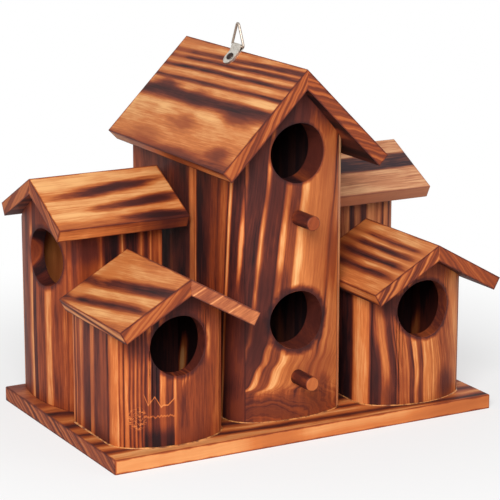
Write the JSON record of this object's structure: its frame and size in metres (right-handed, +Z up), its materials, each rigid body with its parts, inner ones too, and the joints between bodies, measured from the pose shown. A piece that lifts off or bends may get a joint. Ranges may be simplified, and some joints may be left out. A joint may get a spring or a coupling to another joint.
{
  "type": "birdhouse",
  "caption": "Wooden multi-room birdhouse with a tall gabled tower, lower gabled houses around it on a shared plate, bowed fronts, round entrances, perches and a hanging ring.",
  "frame": {"origin": "middle of the base plate's underside", "axes": "+X to the right along the plate's long side, +Y to the back, +Z up; the tower's entrances look along -Y"},
  "size_m": [0.29, 0.1888, 0.2686],
  "materials": {
    "plate_wood": "flame-finished softwood",
    "tower_wood": "flame-finished softwood",
    "tower_roof_wood": "lightly flame-finished softwood",
    "front_wood": "flame-finished softwood",
    "front_roof_wood": "lightly flame-finished softwood",
    "side_wood": "flame-finished softwood",
    "side_roof_wood": "lightly flame-finished softwood",
    "perch_wood": "plain dowel",
    "zinc_steel": "zinc plated",
    "dark_screw": "dark plated"
  },
  "bodies": {
    "house": {"base_plate": "plate_wood", "front_left_back": "front_wood", "front_left_face": "front_wood", "front_left_roof_inner": "front_roof_wood", "front_left_roof_outer": "front_roof_wood", "front_left_wall_inner": "front_wood", "front_left_wall_outer": "front_wood", "front_right_back": "front_wood", "front_right_face": "front_wood", "front_right_roof_inner": "front_roof_wood", "front_right_roof_outer": "front_roof_wood", "front_right_wall_inner": "front_wood", "front_right_wall_outer": "front_wood", "hanger_screw": "dark_screw", "hanger_strap": "zinc_steel", "perch_lower": "perch_wood", "perch_upper": "perch_wood", "side_left_end": "side_wood", "side_left_face": "side_wood", "side_left_roof_front": "side_roof_wood", "side_left_roof_rear": "side_roof_wood", "side_left_wall_front": "side_wood", "side_left_wall_rear": "side_wood", "side_right_end": "side_wood", "side_right_face": "side_wood", "side_right_roof_front": "side_roof_wood", "side_right_roof_rear": "side_roof_wood", "side_right_wall_front": "side_wood", "side_right_wall_rear": "side_wood", "tower_back": "tower_wood", "tower_front": "tower_wood", "tower_roof_left": "tower_roof_wood", "tower_roof_right": "tower_roof_wood", "tower_shelf": "tower_wood", "tower_side_aft_left": "tower_wood", "tower_side_aft_right": "tower_wood", "tower_side_fore_left": "tower_wood", "tower_side_fore_right": "tower_wood"},
    "ring": {"hanger_ring": "zinc_steel"}
  },
  "joints": [
    {"name": "ring_swing", "type": "hinge", "parent": "house", "child": "ring", "pos_m": [0.00015, 0.012, 0.25217], "axis": [0, 1, 0], "range_deg": [-108, 134]}
  ]
}
